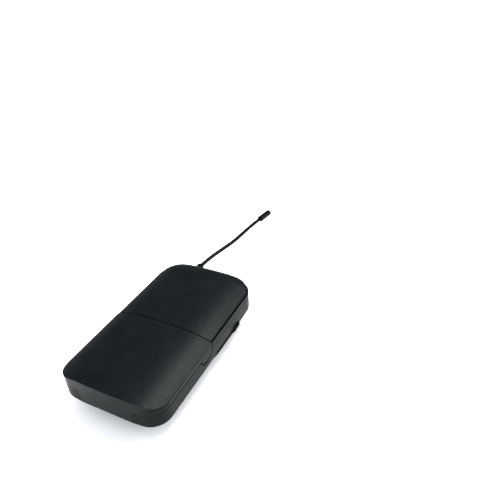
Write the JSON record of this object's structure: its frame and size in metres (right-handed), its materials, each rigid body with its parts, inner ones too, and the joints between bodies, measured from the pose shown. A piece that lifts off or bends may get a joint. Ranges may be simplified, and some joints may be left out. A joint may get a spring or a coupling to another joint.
{
  "type": "wireless bodypack transmitter",
  "caption": "Belt-worn wireless microphone transmitter: slim crowned case, hinged battery door with side latches, wire belt clip, whip antenna, mic jack and slide switch.",
  "frame": {"origin": "centre of the flat back face of the case", "axes": "X across the case, +Y towards the antenna end, +Z out of the crowned front; the belt clip hangs below the back face at negative Z"},
  "size_m": [0.067, 0.2093, 0.0274],
  "materials": {
    "front_plastic": "satin charcoal-black moulded ABS with a very fine texture",
    "case_plastic": "matte charcoal-black moulded ABS with a fine spark-eroded texture",
    "inner_plastic": "plain black moulded plastic",
    "clip_wire": "spring steel wire with a black coating",
    "antenna_rubber": "black rubber-coated, slightly glossy",
    "button_plastic": "dark grey moulded plastic",
    "lens_clear": "clear light-guide plastic",
    "window_clear": "smoked clear plastic",
    "contact_nickel": "nickel-plated spring steel",
    "jack_metal": "black nickel-plated zinc",
    "pin_brass": "gold-plated brass",
    "screw_steel": "dark zinc-plated steel",
    "shield_tin": "tin-plated sheet steel",
    "board_green": "green solder mask on glass-fibre board",
    "chip_black": "black epoxy packages",
    "cell_wrap": "printed foil wrap over a steel can",
    "label_paper": "blank matte label film"
  },
  "bodies": {
    "root": {"rear_case": "case_plastic", "front_frame": "case_plastic", "front_cover": "front_plastic", "rear_label": "label_paper", "battery_tray": "inner_plastic", "battery_lower": "cell_wrap", "battery_upper": "cell_wrap", "battery_springs": "contact_nickel", "battery_plates": "contact_nickel", "main_pcb": "board_green", "rf_shield": "shield_tin", "pcb_chips": "chip_black", "pcb_capacitors": "shield_tin", "pcb_inductor": "chip_black", "control_deck": "inner_plastic", "display_window": "window_clear", "channel_display": "chip_black", "tact_switches": "chip_black", "gain_control": "chip_black", "power_lamp": "lens_clear", "lamp_lens": "lens_clear", "power_switch": "shield_tin", "jack_shell": "jack_metal", "jack_insulator": "inner_plastic", "jack_pins": "pin_brass", "jack_nut": "jack_metal", "antenna_boot": "antenna_rubber", "antenna_collar": "case_plastic", "antenna_contact": "contact_nickel", "case_screws": "screw_steel", "board_screws": "screw_steel", "deck_screws": "screw_steel", "hinge_pins": "screw_steel"},
    "door": {"battery_door": "front_plastic"},
    "latch_left": {"latch_tab_left": "case_plastic"},
    "latch_right": {"latch_tab_right": "case_plastic"},
    "clip": {"belt_clip": "clip_wire"},
    "power_slider": {"power_switch_slider": "button_plastic"},
    "antenna": {"antenna_whip": "antenna_rubber", "antenna_cap": "antenna_rubber"},
    "group_key": {"group_button": "button_plastic"},
    "channel_key": {"channel_button": "button_plastic"},
    "dial": {"gain_dial": "button_plastic"}
  },
  "joints": [
    {"name": "door_hinge", "type": "hinge", "parent": "root", "child": "door", "pos_m": [0, -0.0532, 0.0066], "axis": [1, 0, 0], "range_deg": [0, 100]},
    {"name": "latch_left_press", "type": "slide", "parent": "door", "child": "latch_left", "axis": [1, 0, 0], "range_m": [0, 0.001], "stiffness_N_per_m": 900},
    {"name": "latch_right_press", "type": "slide", "parent": "door", "child": "latch_right", "axis": [-1, 0, 0], "range_m": [0, 0.001], "stiffness_N_per_m": 900},
    {"name": "clip_flex", "type": "hinge", "parent": "root", "child": "clip", "pos_m": [0, 0.0284, 0.0063], "axis": [1, 0, 0], "range_deg": [0, 12], "stiffness_Nm_per_rad": 2},
    {"name": "power_switch_slide", "type": "slide", "parent": "root", "child": "power_slider", "axis": [1, 0, 0], "range_m": [0, 0.003]},
    {"name": "antenna_flex", "type": "hinge", "parent": "root", "child": "antenna", "pos_m": [-0.0155, 0.066, 0.0104], "axis": [0, 0, 1], "range_deg": [-35, 35], "stiffness_Nm_per_rad": 0.02},
    {"name": "group_button_press", "type": "slide", "parent": "root", "child": "group_key", "axis": [0, 0, -1], "range_m": [0, 0.0004], "stiffness_N_per_m": 800},
    {"name": "channel_button_press", "type": "slide", "parent": "root", "child": "channel_key", "axis": [0, 0, -1], "range_m": [0, 0.0004], "stiffness_N_per_m": 800},
    {"name": "gain_dial_turn", "type": "hinge", "parent": "root", "child": "dial", "pos_m": [0.0156, -0.0096, 0.0134], "axis": [0, 0, 1], "range_deg": [-135, 135]}
  ]
}
